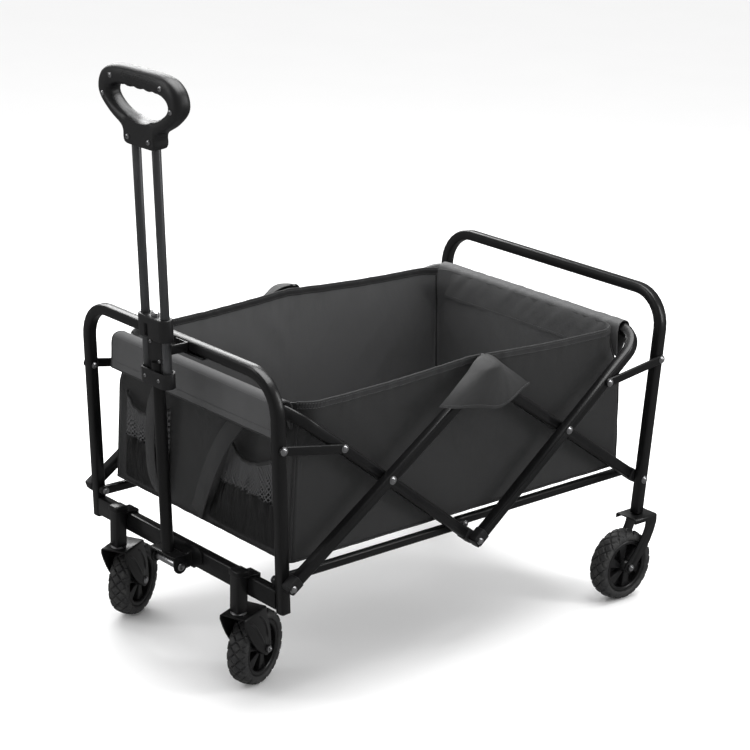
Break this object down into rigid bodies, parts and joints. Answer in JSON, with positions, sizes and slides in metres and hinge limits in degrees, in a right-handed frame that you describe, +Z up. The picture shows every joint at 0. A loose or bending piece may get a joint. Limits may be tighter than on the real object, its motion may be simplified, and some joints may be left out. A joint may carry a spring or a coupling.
{
  "type": "wagon with pull handle",
  "caption": "Folding utility wagon: black scissor frame, dark fabric basket with front mesh pockets, swivel front casters, fixed rear wheels and a telescopic pull handle with a D grip.",
  "frame": {"origin": "on the ground, below the middle of the wagon's bounding box", "axes": "+Z up; +X towards the rear, so the pull handle and the swivel casters are at -X; +Y is the wagon's right side"},
  "size_m": [0.9037, 0.5906, 0.9698],
  "materials": {
    "frame_black": "satin powder coat",
    "gunmetal": "dark grey satin",
    "bolt_silver": "zinc plated",
    "plastic_black": "fine moulded texture",
    "rim_plastic": "satin moulded",
    "tyre_rubber": "matte, lugged tread",
    "basket_fabric": "coated polyester canvas",
    "flap_fabric": "coated polyester canvas, lighter",
    "pocket_mesh": "open net"
  },
  "bodies": {
    "front_frame": {"front_frame_tube": "frame_black", "front_crossbar": "frame_black", "caster_post_left": "frame_black", "caster_post_right": "frame_black", "handle_bracket": "frame_black", "handle_pivot_bolt": "bolt_silver", "handle_hook": "frame_black", "basket": "basket_fabric", "front_flap": "flap_fabric", "pocket_left": "pocket_mesh", "pocket_right": "pocket_mesh", "side_flap_left": "basket_fabric", "side_flap_right": "basket_fabric"},
    "handle": {"handle_main_tube": "frame_black", "handle_lower_collar": "plastic_black", "handle_upper_collar": "plastic_black", "handle_plate": "frame_black"},
    "handle_slide": {"handle_rod_left": "gunmetal", "handle_rod_right": "gunmetal", "grip_front_shell": "plastic_black", "grip_rear_shell": "plastic_black"},
    "release_button": {"release_button": "bolt_silver"},
    "caster_left": {"caster_fork_left": "frame_black", "caster_axle_left": "bolt_silver"},
    "caster_right": {"caster_fork_right": "frame_black", "caster_axle_right": "bolt_silver"},
    "front_wheel_left": {"front_rim_left": "rim_plastic", "front_tyre_left": "tyre_rubber"},
    "front_wheel_right": {"front_rim_right": "rim_plastic", "front_tyre_right": "tyre_rubber"},
    "scissor_front": {"scissor_bar_front_left": "frame_black", "scissor_bar_front_right": "frame_black", "scissor_pin_front_left": "bolt_silver", "scissor_pin_front_right": "bolt_silver"},
    "front_rail": {"front_rail": "frame_black", "lower_pin_left": "bolt_silver", "lower_pin_right": "bolt_silver"},
    "scissor_rear": {"scissor_bar_rear_left": "frame_black", "scissor_bar_rear_right": "frame_black", "scissor_pin_rear_left": "bolt_silver", "scissor_pin_rear_right": "bolt_silver"},
    "rear_rail": {"rear_rail": "frame_black"},
    "rear_frame": {"rear_frame_tube": "frame_black", "rear_fork_left": "frame_black", "rear_fork_right": "frame_black", "rear_axle_left": "bolt_silver", "rear_axle_right": "bolt_silver"},
    "rear_wheel_left": {"rear_rim_left": "rim_plastic", "rear_tyre_left": "tyre_rubber"},
    "rear_wheel_right": {"rear_rim_right": "rim_plastic", "rear_tyre_right": "tyre_rubber"},
    "front_links": {"front_link_left": "frame_black", "front_link_right": "frame_black"},
    "rear_links": {"rear_link_left": "frame_black", "rear_link_right": "frame_black"},
    "front_base_bars": {"base_bar_front_left": "frame_black", "base_bar_front_right": "frame_black"},
    "rear_base_bars": {"base_bar_rear_left": "frame_black", "base_bar_rear_right": "frame_black"}
  },
  "joints": [
    {"name": "fold", "type": "hinge", "parent": "front_frame", "child": "scissor_front", "pos_m": [-0.35774, 0, 0.212], "axis": [0, -1, 0], "range_deg": [0, 40.13], "deforming": ["basket", "front_flap", "pocket_left", "pocket_right", "side_flap_left", "side_flap_right"]},
    {"name": "front_rail_pivot", "type": "hinge", "parent": "scissor_front", "child": "front_rail", "pos_m": [-0.16449, 0, 0.3443], "axis": [0, -1, 0], "range_deg": [-77.41, 0]},
    {"name": "top_pivot", "type": "hinge", "parent": "scissor_front", "child": "scissor_rear", "pos_m": [0.02876, 0, 0.4766], "axis": [0, -1, 0], "range_deg": [-80.27, 0]},
    {"name": "rear_rail_pivot", "type": "hinge", "parent": "scissor_rear", "child": "rear_rail", "pos_m": [0.22201, 0, 0.3443], "axis": [0, -1, 0], "range_deg": [0, 77.41]},
    {"name": "rear_frame_pivot", "type": "hinge", "parent": "scissor_rear", "child": "rear_frame", "pos_m": [0.41526, 0, 0.212], "axis": [0, -1, 0], "range_deg": [0, 40.15]},
    {"name": "front_link_pivot", "type": "hinge", "parent": "front_frame", "child": "front_links", "pos_m": [-0.36889, 0, 0.4321], "axis": [0, -1, 0], "range_deg": [0, 77.75]},
    {"name": "rear_link_pivot", "type": "hinge", "parent": "rear_frame", "child": "rear_links", "pos_m": [0.43342, 0, 0.42826], "axis": [0, -1, 0], "range_deg": [-73.2, 0]},
    {"name": "front_base_pivot", "type": "hinge", "parent": "front_frame", "child": "front_base_bars", "pos_m": [-0.35774, 0, 0.212], "axis": [0, -1, 0], "range_deg": [0, 71.15]},
    {"name": "rear_base_pivot", "type": "hinge", "parent": "rear_frame", "child": "rear_base_bars", "pos_m": [0.41526, 0, 0.212], "axis": [0, -1, 0], "range_deg": [-71.15, 0]},
    {"name": "handle_hinge", "type": "hinge", "parent": "front_frame", "child": "handle", "pos_m": [-0.39245, 0, 0.174], "axis": [0, -1, 0], "range_deg": [0, 85]},
    {"name": "handle_telescope", "type": "slide", "parent": "handle", "child": "handle_slide", "axis": [-0.0558, 0, 0.9984], "range_m": [-0.21, 0]},
    {"name": "release_press", "type": "slide", "parent": "handle", "child": "release_button", "axis": [-0.0558, 0, 0.9984], "range_m": [-0.003, 0], "stiffness_N_per_m": 300},
    {"name": "caster_swivel_left", "type": "hinge", "parent": "front_frame", "child": "caster_left", "pos_m": [-0.3763, -0.165, 0], "axis": [0, 0, 1], "continuous": true},
    {"name": "front_wheel_spin_left", "type": "hinge", "parent": "caster_left", "child": "front_wheel_left", "pos_m": [-0.32978, -0.14667, 0.0625], "axis": [-0.3665, 0.9304, 0], "continuous": true},
    {"name": "rear_wheel_spin_left", "type": "hinge", "parent": "rear_frame", "child": "rear_wheel_left", "pos_m": [0.37697, -0.2685, 0.0625], "axis": [0, 1, 0], "continuous": true},
    {"name": "caster_swivel_right", "type": "hinge", "parent": "front_frame", "child": "caster_right", "pos_m": [-0.3763, 0.165, 0], "axis": [0, 0, 1], "continuous": true},
    {"name": "front_wheel_spin_right", "type": "hinge", "parent": "caster_right", "child": "front_wheel_right", "pos_m": [-0.33195, 0.18809, 0.0625], "axis": [-0.4617, 0.887, 0], "continuous": true},
    {"name": "rear_wheel_spin_right", "type": "hinge", "parent": "rear_frame", "child": "rear_wheel_right", "pos_m": [0.37697, 0.2685, 0.0625], "axis": [0, 1, 0], "continuous": true}
  ],
  "couplings": [
    {"joint": "front_rail_pivot", "follows": "fold", "ratio": -1.9287},
    {"joint": "top_pivot", "follows": "fold", "ratio": -2},
    {"joint": "rear_rail_pivot", "follows": "fold", "ratio": 1.9287},
    {"joint": "rear_frame_pivot", "follows": "fold", "ratio": 1},
    {"joint": "front_link_pivot", "follows": "fold", "ratio": 1.9372},
    {"joint": "rear_link_pivot", "follows": "fold", "ratio": -1.8238},
    {"joint": "front_base_pivot", "follows": "fold", "ratio": 1.7727},
    {"joint": "rear_base_pivot", "follows": "fold", "ratio": -1.7727}
  ]
}
